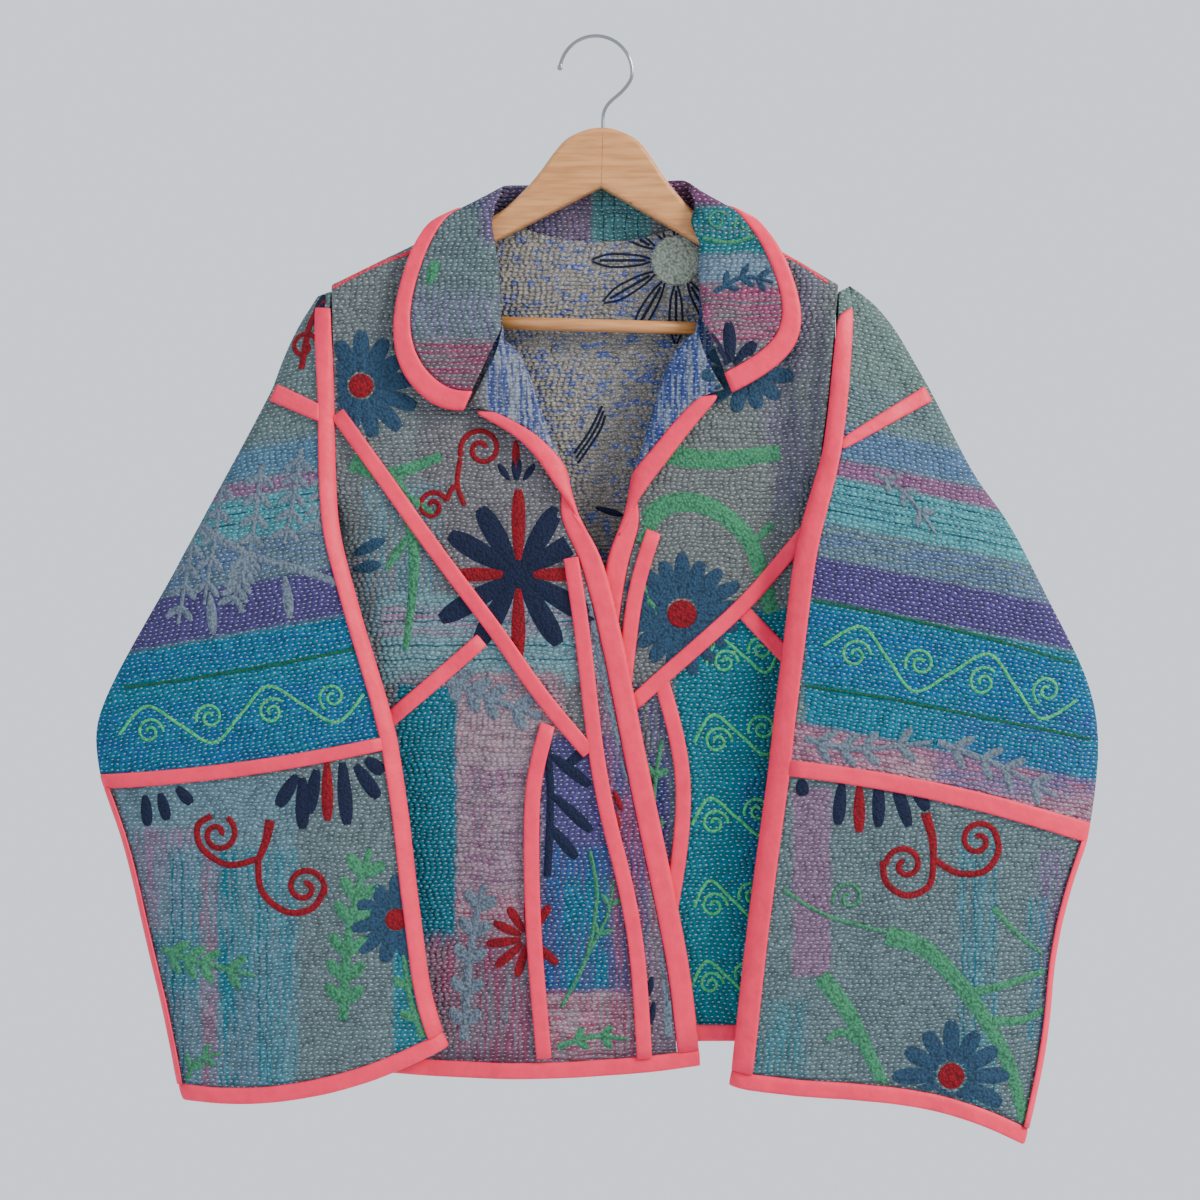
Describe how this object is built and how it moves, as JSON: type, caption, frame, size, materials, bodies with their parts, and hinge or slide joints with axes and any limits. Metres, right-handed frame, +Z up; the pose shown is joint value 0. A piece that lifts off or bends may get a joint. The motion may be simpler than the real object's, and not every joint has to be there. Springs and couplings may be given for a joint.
{
  "type": "kantha jacket on hanger",
  "caption": "Short quilted jacket with wide sleeves, a rounded collar and folded lapels, bound at every seam and edge, hanging from a wooden hanger with a wire hook.",
  "frame": {"origin": "the underside of the top of the hanger's hook, where it hangs on a rail or peg", "axes": "+X to the viewer's right as the fronts are seen, +Y from the fronts to the back, +Z up"},
  "size_m": [0.7807, 0.0682, 0.8655],
  "materials": {
    "patch_cloth_front": "quilted printed cotton, matt",
    "patch_cloth_back": "quilted printed cotton, matt",
    "patch_cloth_sleeve": "quilted printed cotton, matt",
    "patch_cloth_collar": "quilted printed cotton, matt",
    "binding": "soft satin twill binding",
    "hanger_wood": "clear lacquer",
    "hook_steel": "bright chrome"
  },
  "bodies": {
    "root": {"hanger_hook": "hook_steel", "hanger_wood": "hanger_wood", "hanger_bar": "hanger_wood", "back_panel": "patch_cloth_back", "hem_binding_back": "binding", "front_right": "patch_cloth_front", "front_edge_binding_right": "binding", "hem_binding_right": "binding", "front_left": "patch_cloth_front", "front_edge_binding_left": "binding", "hem_binding_left": "binding", "facing_seam_right": "binding", "yoke_seam_right": "binding", "cross_seam_right": "binding", "dart_seam_right": "binding", "facing_seam_left": "binding", "yoke_seam_left": "binding", "cross_seam_left": "binding", "dart_seam_left": "binding", "sleeve_upper_right": "patch_cloth_sleeve", "sleeve_lower_right": "patch_cloth_sleeve", "cuff_binding_right": "binding", "sleeve_seam_binding_right": "binding", "sleeve_head_binding_right": "binding", "elbow_binding_right": "binding", "sleeve_outer_binding_right": "binding", "sleeve_upper_left": "patch_cloth_sleeve", "sleeve_lower_left": "patch_cloth_sleeve", "cuff_binding_left": "binding", "sleeve_seam_binding_left": "binding", "sleeve_head_binding_left": "binding", "elbow_binding_left": "binding", "sleeve_outer_binding_left": "binding", "collar": "patch_cloth_collar", "collar_binding": "binding"}
  },
  "joints": []
}
